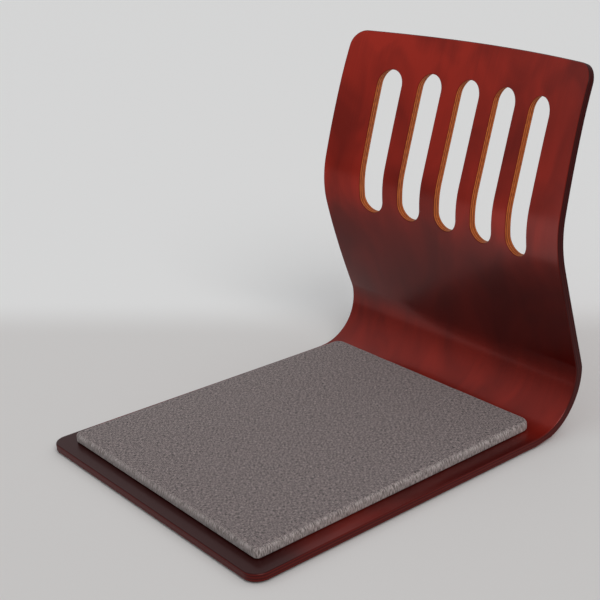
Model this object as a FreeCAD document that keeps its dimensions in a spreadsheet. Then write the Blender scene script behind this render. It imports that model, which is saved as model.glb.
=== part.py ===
"""Legless floor chair: one moulded plywood shell with a slotted back, and a thin screwed-on seat pad.

+Z is up and the chair faces -Y. The origin is the middle of the footprint, on the floor. Millimetres.
"""
import FreeCAD, Part
import Sketcher
import math
import os

doc = FreeCAD.newDocument("FloorChair")
sheet = doc.addObject("Spreadsheet::Sheet", "Sizes")

# Driving sizes, in millimetres and degrees
SIZES = [
    # The lay-up of the shell, from the sitter's side to the outside
    ("veneer_thickness", 0.6),
    ("core_thickness", 7.8),
    # The side profile, on the sitter's face, from the front edge to the top
    ("seat_run", 380.0),
    ("bend_radius", 60.0),
    ("bend_angle", 94.0),
    ("lower_back_run", 122.0),
    ("lumbar_radius", 119.0),
    ("lumbar_angle", 24.4),
    ("upper_back_run", 87.0),
    ("head_radius", 1040.0),
    ("head_angle", 3.6),
    # The hollow across the back: none at the bend, then these radii half way up and at the top
    ("mid_hollow_radius", 810.0),
    ("top_hollow_radius", 704.0),
    # The outline of the seat, in plan; it narrows by the taper on each side
    ("seat_width", 400.0),
    ("front_corner_radius", 17.0),
    ("seat_taper", 10.5),
    ("seat_waist_radius", 1000.0),
    # The outline of the back, square to its upper part; flare and taper are on each side
    ("waist_reach", 190.0),
    ("hip_flare", 6.8),
    ("hip_reach", 338.0),
    ("top_taper", 5.2),
    ("top_corner_radius", 22.0),
    ("top_crown", 8.8),
    ("top_crown_radius", 2080.0),
    # The slots, seen from the front, in heights above the shell's underside
    ("slot_width", 35.3),
    ("slot_pitch", 60.7),
    ("slot_bottom", 190.0),
    ("slot_top", 355.5),
    # The seat pad: a board, a foam slab and a fabric cover turned under the board
    ("pad_front_margin", 20.8),
    ("pad_side_margin", 23.3),
    ("pad_overhang", 13.0),
    ("pad_height", 13.0),
    ("pad_crown", 1.2),
    ("pad_crown_width", 300.0),
    ("pad_roll", 4.5),
    ("pad_lower_roll", 1.6),
    ("pad_front_radius", 8.0),
    ("pad_rear_radius", 22.0),
    ("fabric_thickness", 0.8),
    ("board_thickness", 4.0),
    ("board_gap", 0.3),
    ("board_setback", 1.0),
    ("hem_width", 22.0),
    ("hem_corner_radius", 5.0),
    ("bend_clearance", 0.3),
    # The fixings of the pad
    ("screw_across", 240.0),
    ("screw_front", 90.0),
    ("screw_rear", 310.0),
    ("screw_diameter", 5.0),
    ("screw_head_diameter", 10.0),
    ("screw_length", 14.6),
    ("screw_recess", 0.2),
    ("socket_diameter", 3.4),
    ("socket_depth", 1.5),
    ("hole_clearance", 0.25),
    ("thread_clearance", 0.05),
    ("nut_flange_diameter", 17.0),
    ("nut_flange_thickness", 1.2),
    ("nut_barrel_diameter", 7.0),
    ("nut_barrel_length", 3.6),
    ("nut_clearance", 0.2),
    # The staples that hold the hem to the board
    ("staple_crown", 10.0),
    ("staple_wire", 0.5),
    ("staple_leg", 3.8),
    ("staple_inset", 11.0),
    ("staple_corner_inset", 36.0),
    # The felt discs under the seat
    ("glide_diameter", 28.0),
    ("glide_thickness", 2.0),
    ("glide_across", 300.0),
    ("glide_front", 45.0),
    ("glide_rear", 350.0),
    # One overrun for every tool that cuts
    ("overrun", 6.0),
]
SLOT_COUNT = 5
STAPLE_COUNT_ACROSS = 5
STAPLE_COUNT_ALONG = 5
# How many spans the loft has up the lower run, round the lumbar arc, up the upper run and to the top
LOFT_SPAN_COUNTS = (4, 4, 3, 2)
# The hip's part of the two radii that make the side's curve from the waist to the hip
HIP_ROUND_SHARE = 0.62
RIGHT_ANGLE = 90
STRAIGHT_ANGLE = 180
THREE_RIGHT_ANGLES = 270
FULL_ANGLE = 360


def write_cell(row, name, value):
    """One size in the sheet: its name, its plain number and its alias."""
    sheet.set("A%d" % row, name)
    sheet.set("B%d" % row, repr(float(value)))
    sheet.setAlias("B%d" % row, name)


for cell_row, (size_name, size_value) in enumerate(SIZES, start=1):
    write_cell(cell_row, size_name, size_value)
doc.recompute()


def size(name):
    """A size, read back from the sheet."""
    return float(getattr(sheet, name))


# The side profile of the sitter's face
shell_thickness = 2 * size("veneer_thickness") + size("core_thickness")
seat_face = size("glide_thickness") + shell_thickness


def profile_segments():
    """The profile as straight runs and arcs: length, radius (none when straight) and turn in radians."""
    bend = math.radians(size("bend_angle"))
    lumbar = math.radians(size("lumbar_angle"))
    head = math.radians(size("head_angle"))
    return [
        (size("seat_run"), None, 0),
        (size("bend_radius") * bend, size("bend_radius"), bend),
        (size("lower_back_run"), None, 0),
        (size("lumbar_radius") * lumbar, size("lumbar_radius"), -lumbar),
        (size("upper_back_run"), None, 0),
        (size("head_radius") * head, size("head_radius"), -head),
    ]


def profile_point(run):
    """Distance behind the front edge, height and heading of the sitter's face, this far along the profile."""
    back, height, heading = 0, seat_face, 0
    for length, radius, turn in profile_segments():
        step = min(run, length)
        if radius is None:
            back += step * math.cos(heading)
            height += step * math.sin(heading)
        else:
            side = math.copysign(1, turn)
            centre_back = back - side * radius * math.sin(heading)
            centre_height = height + side * radius * math.cos(heading)
            heading += side * step / radius
            back = centre_back + side * radius * math.sin(heading)
            height = centre_height - side * radius * math.cos(heading)
        run -= step
        if run <= 0:
            return back, height, heading
    return back + run * math.cos(heading), height + run * math.sin(heading), heading


profile_length = sum(length for length, radius, turn in profile_segments())
bend_end = size("seat_run") + size("bend_radius") * math.radians(size("bend_angle"))
top_run = profile_length + size("top_crown")
lean = math.radians(size("bend_angle") - size("lumbar_angle") - size("head_angle"))


def along_lean(back, height):
    """How far a place lies along the direction of the upper back, from the front edge on the floor."""
    return back * math.cos(lean) + height * math.sin(lean)


# The rearmost place is the outer arris of the top edge, on the centre line
top_back, top_height, top_heading = profile_point(top_run)
chair_depth = top_back + shell_thickness * math.sin(lean)
front = -chair_depth / 2
base_back, base_height, base_heading = profile_point(profile_length)


# The half widths of the shell from the front edge to the top, and how far up the waist and the hip are
half_seat = size("seat_width") / 2
half_waist = half_seat - size("seat_taper")
half_hip = half_waist + size("hip_flare")
half_top = half_hip - size("top_taper")
waist_at = size("waist_reach")
hip_at = size("hip_reach")


def seat_half_width(back):
    """Half the width of the straight-sided seat at a distance behind its front edge."""
    taper = size("seat_taper") / (size("seat_run") - size("front_corner_radius"))
    return half_seat - taper * (back - size("front_corner_radius"))


def pad_outline(prefix, inset, rear, front_radius, rear_radius):
    """The sizes of one outline of the pad, drawn in by an inset: its ends, corner radii and half widths."""
    front_end = size("pad_front_margin") + inset
    side_inset = size("pad_side_margin") + inset
    return [
        (prefix + "_front", front_end),
        (prefix + "_rear", rear),
        (prefix + "_front_radius", front_radius),
        (prefix + "_rear_radius", rear_radius),
        (prefix + "_front_half", seat_half_width(front_end + front_radius) - side_inset),
        (prefix + "_rear_half", seat_half_width(rear - rear_radius) - side_inset),
    ]


pad_rear = size("seat_run") + size("pad_overhang")
fabric = size("fabric_thickness")
board_inset = fabric + size("board_gap")
board_rear = size("seat_run") - size("board_setback")
pad_middle = (size("pad_front_margin") + pad_rear) / 2
crown_radius = ((size("pad_crown_width") / 2) ** 2 + size("pad_crown") ** 2) / (2 * size("pad_crown"))
hip_lift = hip_at - waist_at
side_rounds = (hip_lift ** 2 + size("hip_flare") ** 2) / (2 * size("hip_flare"))
DERIVED = [
    ("shell_thickness", shell_thickness),
    ("half_waist", half_waist),
    ("half_hip", half_hip),
    ("half_top", half_top),
    ("hip_radius", HIP_ROUND_SHARE * side_rounds),
    ("template_foot", along_lean(size("seat_run"), 0) - size("overrun")),
    ("crown_reach", along_lean(base_back, base_height) + size("top_crown")),
    ("template_depth", 2 * (chair_depth + seat_face)),
    ("cover_crown_radius", crown_radius),
    ("former_crown_radius", crown_radius - fabric),
]
DERIVED += pad_outline("cover", 0, pad_rear, size("pad_front_radius"), size("pad_rear_radius"))
DERIVED += pad_outline(
    "former", fabric, pad_rear - fabric, size("pad_front_radius") - fabric, size("pad_rear_radius") - fabric
)
DERIVED += pad_outline(
    "board",
    board_inset,
    board_rear,
    size("pad_front_radius") - board_inset,
    size("pad_rear_radius") - board_inset,
)
DERIVED += pad_outline(
    "window",
    size("hem_width"),
    board_rear - size("hem_width"),
    size("hem_corner_radius"),
    size("hem_corner_radius"),
)
for cell_row, (size_name, size_value) in enumerate(DERIVED, start=len(SIZES) + 1):
    write_cell(cell_row, size_name, size_value)
doc.recompute()


# Sketch helpers: an outline is a closed chain of lines, round (outward) arcs and hollow (inward) arcs

def straight(start, end):
    """A straight piece of an outline."""
    edge = Part.LineSegment(FreeCAD.Vector(start[0], start[1], 0), FreeCAD.Vector(end[0], end[1], 0))
    return edge, 1, 2


def curved(centre, radius, first, last, hollow=False):
    """An arc of an outline between two angles in degrees, drawn anticlockwise; a hollow one is run backwards."""
    circle = Part.Circle(FreeCAD.Vector(centre[0], centre[1], 0), FreeCAD.Vector(0, 0, 1), radius)
    edge = Part.ArcOfCircle(circle, math.radians(first), math.radians(last))
    return (edge, 2, 1) if hollow else (edge, 1, 2)


def draw_outline(sketch, pieces, sharp=()):
    """Adds the pieces in order, each tangent to the next, except after those listed as sharp."""
    sketch.addGeometry([piece[0] for piece in pieces], False)
    for index, (edge, entry, leave) in enumerate(pieces):
        following = (index + 1) % len(pieces)
        kind = "Coincident" if index in sharp else "Tangent"
        sketch.addConstraint(Sketcher.Constraint(kind, index, leave, following, pieces[following][1]))


def tie(sketch, kind, places, value, formula):
    """A dimension of a sketch, bound to the sheet."""
    index = sketch.addConstraint(Sketcher.Constraint(kind, *places, value))
    sketch.setExpression("Constraints[%d]" % index, formula)


def mirror_points(sketch, first, second):
    """Two points of a sketch lie alike on both sides of its upright axis."""
    sketch.addConstraint(Sketcher.Constraint("Symmetric", first[0], first[1], second[0], second[1], -2))


def equal(sketch, first, second):
    """Two arcs of a sketch have one radius."""
    sketch.addConstraint(Sketcher.Constraint("Equal", first, second))


def new_body(name, place):
    """An empty body at a place."""
    body = doc.addObject("PartDesign::Body", name)
    body.Placement = place
    return body


def new_sketch(body, name, role):
    """A sketch on one of the body's own origin planes."""
    sketch = body.newObject("Sketcher::SketchObject", name)
    plane = [feature for feature in body.Origin.OriginFeatures if feature.Role == role][0]
    sketch.AttachmentSupport = [(plane, "")]
    sketch.MapMode = "FlatFace"
    return sketch


def raise_pad(body, name, sketch, formula, both_ways=False):
    """Draws a sketch up into a solid, to a length from the sheet, or by half of it to each side."""
    feature = body.newObject("PartDesign::Pad", name)
    feature.Profile = sketch
    feature.SideType = "Symmetric" if both_ways else "One side"
    feature.setExpression("Length", formula)
    return feature


def at(back, height):
    """The place on the centre line at a distance behind the front edge and a height above the floor."""
    return FreeCAD.Placement(FreeCAD.Vector(0, front + back, height), FreeCAD.Rotation())


# The shell's bands: a layer of the moulding between two depths below the sitter's face

def hollow_radius(run):
    """The radius across the back at this run: none at the bend, then steadily tighter towards the top."""
    share = max(0, min(1, (run - bend_end) / (profile_length - bend_end)))
    top_curve = 1 / size("top_hollow_radius")
    mid_curve = 1 / size("mid_hollow_radius")
    curve = top_curve * share + (mid_curve - top_curve / 2) * 4 * share * (1 - share)
    return 1 / curve if curve > 0 else None


def section(run, half_width, upper, lower):
    """The closed outline of a band square to the profile: two arcs with one centre, or two lines at the bend."""
    back, height, heading = profile_point(run)
    outward = FreeCAD.Vector(0, math.sin(heading), -math.cos(heading))
    middle = FreeCAD.Vector(0, front + back, height)
    radius = hollow_radius(run)

    def place(across, depth):
        if radius is not None:
            depth = math.sqrt((radius + depth) ** 2 - across ** 2) - radius
        return middle + outward * depth + FreeCAD.Vector(across, 0, 0)

    def edge(across, depth):
        if radius is None:
            return Part.makeLine(place(across, depth), place(-across, depth))
        return Part.Arc(place(across, depth), place(0, depth), place(-across, depth)).toShape()

    side = Part.makeLine(place(half_width, upper), place(half_width, lower))
    other_side = Part.makeLine(place(-half_width, lower), place(-half_width, upper))
    return Part.Wire([edge(-half_width, upper), side, edge(half_width, lower), other_side])


def loft_runs():
    """The runs at which the loft has its sections, closer together round the lumbar curve."""
    runs = [bend_end]
    for (length, radius, turn), spans in zip(profile_segments()[2:], LOFT_SPAN_COUNTS):
        start = runs[-1]
        runs += [start + length * step / spans for step in range(1, spans + 1)]
    return runs + [top_run + size("overrun")]


def bend_sector(upper, lower, half_width):
    """The bend of a band: a sector of a tube, as wide as the band."""
    axis = FreeCAD.Vector(-half_width, front + size("seat_run"), seat_face + size("bend_radius"))
    turn = math.radians(size("bend_angle"))

    def place(depth, angle):
        reach = size("bend_radius") + depth
        return axis + FreeCAD.Vector(0, reach * math.sin(angle), -reach * math.cos(angle))

    inner = Part.Arc(place(upper, 0), place(upper, turn / 2), place(upper, turn)).toShape()
    outer = Part.Arc(place(lower, turn), place(lower, turn / 2), place(lower, 0)).toShape()
    top_side = Part.makeLine(place(upper, turn), place(lower, turn))
    foot_side = Part.makeLine(place(lower, 0), place(upper, 0))
    outline = Part.Face(Part.Wire([inner, top_side, outer, foot_side]))
    return outline.extrude(FreeCAD.Vector(2 * half_width, 0, 0))


def band_solids(upper, lower, half_width, seat_start):
    """A band of the moulding in two solids: the flat seat, and the bend with the loft up the back."""
    seat = Part.makeBox(
        2 * half_width,
        size("seat_run") - seat_start,
        lower - upper,
        FreeCAD.Vector(-half_width, front + seat_start, seat_face - lower),
    )
    back = Part.makeLoft([section(run, half_width, upper, lower) for run in loft_runs()], True, False)
    return seat, bend_sector(upper, lower, half_width).fuse(back)


def shape_feature(name, shape):
    """A solid that no sketch can draw, as an object of the document."""
    feature = doc.addObject("Part::Feature", name)
    feature.Shape = shape
    feature.Placement = FreeCAD.Placement()
    return feature


def boolean(kind, name, base, tool):
    """A cut, common part or union of two objects."""
    feature = doc.addObject("Part::" + kind, name)
    feature.Base = base
    feature.Tool = tool
    return feature


def group(name, members):
    """Like pieces kept together as one object of separate solids."""
    feature = doc.addObject("Part::Compound", name)
    feature.Links = members
    return feature


def primitive(kind, name, formulas, place):
    """A box, cylinder, cone, prism or ball whose sizes are bound to the sheet."""
    feature = doc.addObject("Part::" + kind, name)
    for property_name, formula in formulas.items():
        feature.setExpression(property_name, formula)
    feature.Placement = place
    return feature


def eased(name, base, rounds):
    """Rounds edges of an object; rounds is a list of edge number and radius."""
    feature = doc.addObject("Part::Fillet", name)
    feature.Base = base
    feature.Edges = [(number, radius, radius) for number, radius in rounds]
    return feature


# The seat's outline, in plan: round front corners, straight tapering sides and a waist before the bend

seat_template = new_body("SeatTemplate", at(0, 0))
seat_sketch = new_sketch(seat_template, "SeatOutline", "XY_Plane")
corner = size("front_corner_radius")
waist = size("seat_waist_radius")
run = size("seat_run")
waist_turn = math.degrees(math.atan(size("seat_taper") / run))
waist_start = run - waist * math.sin(math.radians(waist_turn))
draw_outline(
    seat_sketch,
    [
        straight((corner - half_seat, 0), (half_seat - corner, 0)),
        curved((half_seat - corner, corner), corner, -RIGHT_ANGLE, 0),
        straight((half_seat, corner), (half_waist, waist_start)),
        curved((half_waist + waist, run), waist, STRAIGHT_ANGLE, STRAIGHT_ANGLE + waist_turn, hollow=True),
        straight((half_waist, run), (-half_waist, run)),
        curved((-half_waist - waist, run), waist, -waist_turn, 0, hollow=True),
        straight((-half_waist, waist_start), (-half_seat, corner)),
        curved((corner - half_seat, corner), corner, STRAIGHT_ANGLE, THREE_RIGHT_ANGLES),
    ],
    sharp=(3, 4),
)
mirror_points(seat_sketch, (0, 1), (0, 2))
mirror_points(seat_sketch, (4, 1), (4, 2))
equal(seat_sketch, 1, 7)
equal(seat_sketch, 3, 5)
seat_sketch.addConstraint(Sketcher.Constraint("PointOnObject", 0, 1, -1))
tie(seat_sketch, "DistanceY", (-1, 1, 3, 3), run, "Sizes.seat_run")
tie(seat_sketch, "DistanceY", (-1, 1, 5, 3), run, "Sizes.seat_run")
tie(seat_sketch, "DistanceY", (-1, 1, 4, 1), run, "Sizes.seat_run")
tie(seat_sketch, "DistanceX", (-1, 1, 4, 1), half_waist, "Sizes.half_waist")
tie(seat_sketch, "DistanceX", (-1, 1, 2, 1), half_seat, "Sizes.seat_width / 2")
tie(seat_sketch, "Radius", (1,), corner, "Sizes.front_corner_radius")
tie(seat_sketch, "Radius", (3,), waist, "Sizes.seat_waist_radius")
raise_pad(seat_template, "SeatTemplatePad", seat_sketch, "Sizes.template_depth", both_ways=True)

# The back's outline, square to its upper part: waist, hips, tapering sides, round corners, crowned top

back_template = new_body(
    "BackTemplate",
    FreeCAD.Placement(FreeCAD.Vector(0, front, 0), FreeCAD.Rotation(FreeCAD.Vector(1, 0, 0), math.degrees(lean))),
)
back_sketch = new_sketch(back_template, "BackOutline", "XY_Plane")
foot = size("template_foot")
crown_reach = size("crown_reach")
hip = size("hip_radius")
top_corner = size("top_corner_radius")
crown = size("top_crown_radius")
waist_round = side_rounds - hip
hip_turn = math.degrees(math.asin(hip_lift / side_rounds))
side_turn = math.degrees(math.atan(size("top_taper") / (crown_reach - hip_at)))
crown_turn = math.degrees(math.asin((half_top - top_corner) / crown))
hip_top = hip_at + hip * math.sin(math.radians(side_turn))
shoulder = crown_reach - crown + crown * math.cos(math.radians(crown_turn)) - top_corner
hip_centre = half_hip - hip
waist_centre = half_waist + waist_round
draw_outline(
    back_sketch,
    [
        straight((-half_waist, foot), (half_waist, foot)),
        straight((half_waist, foot), (half_waist, waist_at)),
        curved((waist_centre, waist_at), waist_round, STRAIGHT_ANGLE - hip_turn, STRAIGHT_ANGLE, hollow=True),
        curved((hip_centre, hip_at), hip, -hip_turn, side_turn),
        straight((half_hip, hip_top), (half_top, shoulder)),
        curved((half_top - top_corner, shoulder), top_corner, side_turn, RIGHT_ANGLE - crown_turn),
        curved((0, crown_reach - crown), crown, RIGHT_ANGLE - crown_turn, RIGHT_ANGLE + crown_turn),
        curved((top_corner - half_top, shoulder), top_corner, RIGHT_ANGLE + crown_turn, STRAIGHT_ANGLE - side_turn),
        straight((-half_top, shoulder), (-half_hip, hip_top)),
        curved((-hip_centre, hip_at), hip, STRAIGHT_ANGLE - side_turn, STRAIGHT_ANGLE + hip_turn),
        curved((-waist_centre, waist_at), waist_round, 0, hip_turn, hollow=True),
        straight((-half_waist, waist_at), (-half_waist, foot)),
    ],
    sharp=(0, 11),
)
mirror_points(back_sketch, (0, 1), (0, 2))
mirror_points(back_sketch, (1, 2), (11, 1))
back_sketch.addConstraint(Sketcher.Constraint("Vertical", 1))
equal(back_sketch, 2, 10)
equal(back_sketch, 3, 9)
equal(back_sketch, 5, 7)
back_sketch.addConstraint(Sketcher.Constraint("PointOnObject", 6, 3, -2))
tie(back_sketch, "DistanceY", (-1, 1, 3, 3), hip_at, "Sizes.hip_reach")
tie(back_sketch, "DistanceY", (-1, 1, 9, 3), hip_at, "Sizes.hip_reach")
tie(back_sketch, "DistanceX", (-1, 1, 0, 2), half_waist, "Sizes.half_waist")
tie(back_sketch, "DistanceY", (-1, 1, 0, 2), foot, "Sizes.template_foot")
tie(back_sketch, "DistanceY", (-1, 1, 1, 2), waist_at, "Sizes.waist_reach")
tie(back_sketch, "DistanceX", (3, 3, -1, 1), -hip_centre, "Sizes.hip_radius - Sizes.half_hip")
tie(back_sketch, "Radius", (3,), hip, "Sizes.hip_radius")
tie(back_sketch, "Radius", (6,), crown, "Sizes.top_crown_radius")
tie(back_sketch, "DistanceY", (6, 3, -1, 1), crown - crown_reach, "Sizes.top_crown_radius - Sizes.crown_reach")
tie(back_sketch, "Radius", (5,), top_corner, "Sizes.top_corner_radius")
tie(back_sketch, "DistanceX", (-1, 1, 4, 2), half_top, "Sizes.half_top")
tie(back_sketch, "DistanceX", (8, 1, -1, 1), half_top, "Sizes.half_top")
raise_pad(back_template, "BackTemplatePad", back_sketch, "Sizes.template_depth", both_ways=True)

# The slots: one round-ended slot, repeated across the back and cut level from front to rear

slot_tool = new_body("SlotTool", at(0, size("glide_thickness")))
slot_sketch = new_sketch(slot_tool, "SlotOutline", "XZ_Plane")
slot_round = size("slot_width") / 2
first_slot = -size("slot_pitch") * (SLOT_COUNT - 1) / 2
slot_low = size("slot_bottom") + slot_round
slot_high = size("slot_top") - slot_round
draw_outline(
    slot_sketch,
    [
        straight((first_slot + slot_round, slot_low), (first_slot + slot_round, slot_high)),
        curved((first_slot, slot_high), slot_round, 0, STRAIGHT_ANGLE),
        straight((first_slot - slot_round, slot_high), (first_slot - slot_round, slot_low)),
        curved((first_slot, slot_low), slot_round, STRAIGHT_ANGLE, FULL_ANGLE),
    ],
)
slot_sketch.addConstraint(Sketcher.Constraint("Vertical", 0))
equal(slot_sketch, 1, 3)
tie(slot_sketch, "Radius", (1,), slot_round, "Sizes.slot_width / 2")
tie(slot_sketch, "DistanceX", (1, 3, -1, 1), -first_slot, "Sizes.slot_pitch * %d / 2" % (SLOT_COUNT - 1))
tie(slot_sketch, "DistanceY", (-1, 1, 1, 3), slot_high, "Sizes.slot_top - Sizes.slot_width / 2")
tie(slot_sketch, "DistanceY", (-1, 1, 3, 3), slot_low, "Sizes.slot_bottom + Sizes.slot_width / 2")
first_tool = raise_pad(slot_tool, "FirstSlot", slot_sketch, "Sizes.template_depth", both_ways=True)
slot_row = slot_tool.newObject("PartDesign::LinearPattern", "SlotRow")
slot_row.Originals = [first_tool]
slot_row.Direction = (slot_sketch, ["H_Axis"])
slot_row.Occurrences = SLOT_COUNT
slot_row.setExpression("Length", "Sizes.slot_pitch * %d" % (SLOT_COUNT - 1))
slot_tool.Tip = slot_row
slot_tool.AllowCompound = True
doc.recompute()

# The moulded blank, sawn to both outlines and slotted

blank_half = half_seat + size("overrun")
seat_solid, back_solid = band_solids(0, shell_thickness, blank_half, -size("overrun"))
seat_blank = shape_feature("SeatBlank", seat_solid)
back_blank = shape_feature("BackBlank", back_solid)
seat_panel = boolean("Common", "SeatPanel", seat_blank, seat_template)
back_panel = boolean("Common", "BackPanel", back_blank, back_template)
sawn_shell = boolean("Fuse", "SawnShell", seat_panel, back_panel)
slotted_shell = boolean("Cut", "SlottedShell", sawn_shell, slot_tool)

# The screw holes: a clearance hole with a countersink from below, at the four corners of the fixing pattern

FIXINGS = [(side * size("screw_across") / 2, size(row)) for side in (-1, 1) for row in ("screw_front", "screw_rear")]
underside = size("glide_thickness")
head_radius_formula = "Sizes.screw_head_diameter / 2 + Sizes.hole_clearance + Sizes.screw_recess"
hole_radius_formula = "Sizes.screw_diameter / 2 + Sizes.hole_clearance"


def beside(across, back, height):
    """A place across, behind the front edge and above the floor."""
    return FreeCAD.Placement(FreeCAD.Vector(across, front + back, height), FreeCAD.Rotation())


hole_tools = []
for number, (across, back) in enumerate(FIXINGS, start=1):
    start = beside(across, back, underside - size("overrun"))
    sink_formulas = {
        "Radius1": head_radius_formula + " + Sizes.overrun",
        "Radius2": hole_radius_formula,
        "Height": "(%s + Sizes.overrun) - (%s)" % (head_radius_formula, hole_radius_formula),
    }
    bore_formulas = {"Radius": hole_radius_formula, "Height": "Sizes.shell_thickness + 2 * Sizes.overrun"}
    hole_tools.append(primitive("Cone", "Countersink%d" % number, sink_formulas, start))
    hole_tools.append(primitive("Cylinder", "ScrewHole%d" % number, bore_formulas, start))
drill = doc.addObject("Part::MultiFuse", "Drill")
drill.Shapes = hole_tools
drilled_shell = boolean("Cut", "DrilledShell", slotted_shell, drill)

# The lay-up: every layer of the shell is the part of the finished moulding between two depths

veneer = size("veneer_thickness")
LAYERS = [
    ("face_veneer", -size("overrun"), veneer),
    ("plywood_core", veneer, shell_thickness - veneer),
    ("back_veneer", shell_thickness - veneer, shell_thickness + size("overrun")),
]
parts = []
for layer_name, upper, lower in LAYERS:
    seat_layer, back_layer = band_solids(upper, lower, blank_half, -size("overrun"))
    band = shape_feature(layer_name + "_band", seat_layer.fuse(back_layer))
    parts.append(boolean("Common", layer_name, drilled_shell, band))

# The pad's outlines: a tapering plate with four round corners, drawn for the cover, former, board and window


def plate_body(name, prefix, length_formula, height):
    """A flat plate of the pad, drawn from the sizes of one of its outlines."""
    body = new_body(name, at(0, height))
    sketch = new_sketch(body, name + "Outline", "XY_Plane")
    front_end, rear_end = size(prefix + "_front"), size(prefix + "_rear")
    front_round, rear_round = size(prefix + "_front_radius"), size(prefix + "_rear_radius")
    front_half, rear_half = size(prefix + "_front_half"), size(prefix + "_rear_half")
    front_turn, rear_turn = front_end + front_round, rear_end - rear_round
    draw_outline(
        sketch,
        [
            straight((front_round - front_half, front_end), (front_half - front_round, front_end)),
            curved((front_half - front_round, front_turn), front_round, -RIGHT_ANGLE, 0),
            straight((front_half, front_turn), (rear_half, rear_turn)),
            curved((rear_half - rear_round, rear_turn), rear_round, 0, RIGHT_ANGLE),
            straight((rear_half - rear_round, rear_end), (rear_round - rear_half, rear_end)),
            curved((rear_round - rear_half, rear_turn), rear_round, RIGHT_ANGLE, STRAIGHT_ANGLE),
            straight((-rear_half, rear_turn), (-front_half, front_turn)),
            curved((front_round - front_half, front_turn), front_round, STRAIGHT_ANGLE, THREE_RIGHT_ANGLES),
        ],
    )
    mirror_points(sketch, (0, 1), (0, 2))
    mirror_points(sketch, (4, 1), (4, 2))
    equal(sketch, 1, 7)
    equal(sketch, 3, 5)
    tie(sketch, "DistanceY", (-1, 1, 0, 1), front_end, "Sizes.%s_front" % prefix)
    tie(sketch, "DistanceY", (-1, 1, 4, 1), rear_end, "Sizes.%s_rear" % prefix)
    tie(sketch, "Radius", (1,), front_round, "Sizes.%s_front_radius" % prefix)
    tie(sketch, "Radius", (3,), rear_round, "Sizes.%s_rear_radius" % prefix)
    tie(sketch, "DistanceX", (-1, 1, 2, 1), front_half, "Sizes.%s_front_half" % prefix)
    tie(sketch, "DistanceX", (-1, 1, 2, 2), rear_half, "Sizes.%s_rear_half" % prefix)
    raise_pad(body, name + "Plate", sketch, length_formula)
    return body


def rim_edges(shape, top, radius):
    """The edges round the top or the bottom of a plate, each with the radius of its rolled edge."""
    flat = max(shape.Faces, key=lambda face: face.CenterOfMass.z if top else -face.CenterOfMass.z)
    numbers = [index for index, edge in enumerate(shape.Edges, start=1) if any(edge.isSame(e) for e in flat.Edges)]
    return [(number, radius) for number in numbers]


def crowned(name, plate, cell):
    """A rolled plate with its low crown: a slice of a great ball that swells out of the flat top."""
    level = FreeCAD.Rotation(FreeCAD.Vector(1, 0, 0), RIGHT_ANGLE)
    centre = seat_face + size("pad_height") - crown_radius
    ball_place = FreeCAD.Placement(FreeCAD.Vector(0, front + pad_middle, centre), level)
    ball = primitive("Sphere", name + "Ball", {"Radius": "Sizes." + cell}, ball_place)
    core_formulas = {"Radius": "Sizes.pad_crown_width / 2 + Sizes.fabric_thickness", "Height": "Sizes.pad_height"}
    core = primitive("Cylinder", name + "Core", core_formulas, beside(0, pad_middle, seat_face + size("pad_roll")))
    return boolean("Fuse", name, plate, boolean("Common", name + "Slice", core, ball))


# The pad's former is all that the cover holds: its sides and top are the cover's, one fabric thickness inside

cover_height = "Sizes.pad_height - Sizes.pad_crown"
cover_plate = plate_body("CoverPlate", "cover", cover_height, seat_face)
former_height = cover_height + " - 2 * Sizes.fabric_thickness"
former_plate = plate_body("FormerPlate", "former", former_height, seat_face + fabric)
doc.recompute()
cover_rounds = rim_edges(cover_plate.Shape, True, size("pad_roll"))
cover_rounds += rim_edges(cover_plate.Shape, False, size("pad_lower_roll"))
former_rounds = rim_edges(former_plate.Shape, True, size("pad_roll") - fabric)
rolled_cover = crowned("CrownedCover", eased("RolledCover", cover_plate, cover_rounds), "cover_crown_radius")
rolled_former = crowned("CrownedFormer", eased("RolledFormer", former_plate, former_rounds), "former_crown_radius")

# The staples: a crown flush with the hem and two legs up into the board, in rows round the board's edge

hem_middle_front = size("pad_front_margin") + size("staple_inset")
hem_middle_rear = board_rear + board_inset - size("staple_inset")


def staple_row(first, last, count):
    """Evenly spaced places from the first to the last."""
    return [first + (last - first) * index / (count - 1) for index in range(count)]


def staple(number, across, back, turn):
    """One staple, its crown along X, then turned about its middle."""
    base = beside(across, back, seat_face)
    base.Rotation = FreeCAD.Rotation(FreeCAD.Vector(0, 0, 1), turn)
    half_wire = size("staple_wire") / 2
    half_crown = size("staple_crown") / 2
    pieces = []
    for label, length, height, shift in (
        ("Crown", "Sizes.staple_crown", "Sizes.staple_wire", -half_crown),
        ("LegA", "Sizes.staple_wire", "Sizes.staple_leg", -half_crown),
        ("LegB", "Sizes.staple_wire", "Sizes.staple_leg", half_crown - 2 * half_wire),
    ):
        place = base.multiply(FreeCAD.Placement(FreeCAD.Vector(shift, -half_wire, 0), FreeCAD.Rotation()))
        formulas = {"Length": length, "Width": "Sizes.staple_wire", "Height": height}
        pieces.append(primitive("Box", "Staple%s%d" % (label, number), formulas, place))
    whole = doc.addObject("Part::MultiFuse", "Staple%d" % number)
    whole.Shapes = pieces
    return whole


end_half = size("cover_rear_half") - size("staple_corner_inset")
staple_places = []
for back in (hem_middle_front, hem_middle_rear):
    staple_places += [(across, back, 0) for across in staple_row(-end_half, end_half, STAPLE_COUNT_ACROSS)]
first_side = size("pad_front_margin") + size("staple_corner_inset")
last_side = board_rear - size("staple_corner_inset")
for back in staple_row(first_side, last_side, STAPLE_COUNT_ALONG):
    side_reach = seat_half_width(back) - size("pad_side_margin") - size("staple_inset")
    staple_places += [(-side_reach, back, RIGHT_ANGLE), (side_reach, back, RIGHT_ANGLE)]
staples = [staple(number, *place) for number, place in enumerate(staple_places, start=1)]
pad_staples = group("pad_staples", staples)
parts.append(pad_staples)

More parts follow.
